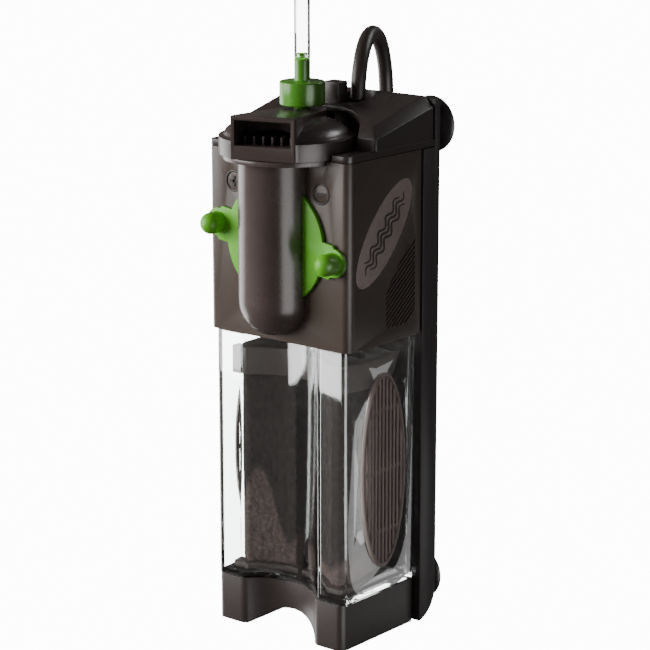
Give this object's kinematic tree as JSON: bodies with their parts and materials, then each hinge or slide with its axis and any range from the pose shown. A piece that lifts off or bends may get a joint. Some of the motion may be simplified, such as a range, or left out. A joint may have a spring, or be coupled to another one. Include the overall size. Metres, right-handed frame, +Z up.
{
  "type": "internal power filter",
  "caption": "Submersible aquarium filter: pump head with turning outlet nozzle and flow lever on a clear canister with two foam cartridges and a wall bracket.",
  "frame": {"origin": "middle of the bounding box on the surface that the foot tray stands on", "axes": "+Z up, -Y towards the front with the outlet duct, +X to the right seen from the front"},
  "size_m": [0.1407, 0.1743, 0.2614],
  "materials": {
    "taupe_plastic": "fine textured taupe ABS",
    "duct_plastic": "satin taupe ABS",
    "dark_plastic": "satin dark brown-grey ABS",
    "black_plastic": "satin black-brown ABS",
    "clear_plastic": "clear moulded styrene",
    "taupe_grille": "satin taupe plastic",
    "foam": "coarse open-cell filter foam",
    "cup_rubber": "soft dark rubber",
    "badge_grey": "matte grey plastic",
    "marker": "dark printed marker",
    "potting": "cast resin",
    "seal_rubber": "black rubber",
    "ceramic": "polished ceramic",
    "screw_steel": "stainless steel",
    "cord_sheath": "satin sheathing",
    "plug_plastic": "moulded plug",
    "pin_brass": "plated brass",
    "white_plastic": "white acetal",
    "ferrite": "plastic-bonded ferrite",
    "green_plastic": "glossy leaf-green plastic",
    "clear_tube": "clear plastic tube"
  },
  "bodies": {
    "canister": {"base_tray": "dark_plastic", "filter_container": "clear_plastic", "intake_grille_left": "taupe_grille", "intake_grille_right": "taupe_grille", "wall_bracket": "black_plastic", "suction_cup_top_left": "cup_rubber", "suction_cup_top_right": "cup_rubber", "suction_cup_bottom_left": "cup_rubber", "suction_cup_bottom_right": "cup_rubber"},
    "cartridge_left": {"cartridge_frame_left": "taupe_grille", "foam_left": "foam"},
    "cartridge_right": {"cartridge_frame_right": "taupe_grille", "foam_right": "foam"},
    "pump_head": {"pump_housing": "taupe_plastic", "lid": "dark_plastic", "lid_block": "dark_plastic", "badge_left": "badge_grey", "badge_right": "badge_grey", "flow_mark_plus": "marker", "flow_mark_minus": "marker", "outlet_duct": "duct_plastic", "motor_block": "potting", "pump_cover": "dark_plastic", "pump_seal": "seal_rubber", "container_seal": "seal_rubber", "valve_seal": "seal_rubber", "shaft_bush_top": "seal_rubber", "shaft_bush_bottom": "seal_rubber", "impeller_shaft": "ceramic", "housing_screws": "screw_steel", "nozzle_seal": "seal_rubber", "cord_gland": "seal_rubber", "cord_run": "cord_sheath", "cord_coil": "cord_sheath", "cord_lead": "cord_sheath", "coil_tie": "seal_rubber", "plug_body": "plug_plastic", "plug_pins": "pin_brass"},
    "rotor": {"impeller": "white_plastic", "rotor_magnet": "ferrite"},
    "lever": {"flow_lever": "green_plastic"},
    "outlet": {"nozzle": "dark_plastic", "nozzle_fins": "black_plastic"},
    "air_valve": {"air_regulator": "green_plastic", "air_tube": "clear_tube", "air_intake": "dark_plastic"}
  },
  "joints": [
    {"name": "head_lift", "type": "slide", "parent": "canister", "child": "pump_head", "axis": [0, 0, 1], "range_m": [0, 0.08]},
    {"name": "cartridge_left_lift", "type": "slide", "parent": "canister", "child": "cartridge_left", "axis": [0, 0, 1], "range_m": [0, 0.04]},
    {"name": "cartridge_right_lift", "type": "slide", "parent": "canister", "child": "cartridge_right", "axis": [0, 0, 1], "range_m": [0, 0.04]},
    {"name": "impeller_spin", "type": "hinge", "parent": "pump_head", "child": "rotor", "pos_m": [0, 0.006, 0.14], "axis": [0, 0, 1], "continuous": true},
    {"name": "flow_lever_turn", "type": "hinge", "parent": "pump_head", "child": "lever", "pos_m": [0, -0.021, 0.155], "axis": [0, 1, 0], "range_deg": [-38, 22]},
    {"name": "nozzle_turn", "type": "hinge", "parent": "pump_head", "child": "outlet", "pos_m": [0, -0.0143, 0.19], "axis": [0, 0, 1], "range_deg": [-78, 42]},
    {"name": "air_valve_turn", "type": "hinge", "parent": "outlet", "child": "air_valve", "pos_m": [-0.00479, 0.00044, 0.2], "axis": [0, 0, 1], "range_deg": [0, 180]}
  ],
  "couplings": [
    {"joint": "cartridge_left_lift", "follows": "head_lift", "ratio": 0.5},
    {"joint": "cartridge_right_lift", "follows": "head_lift", "ratio": 0.5}
  ]
}
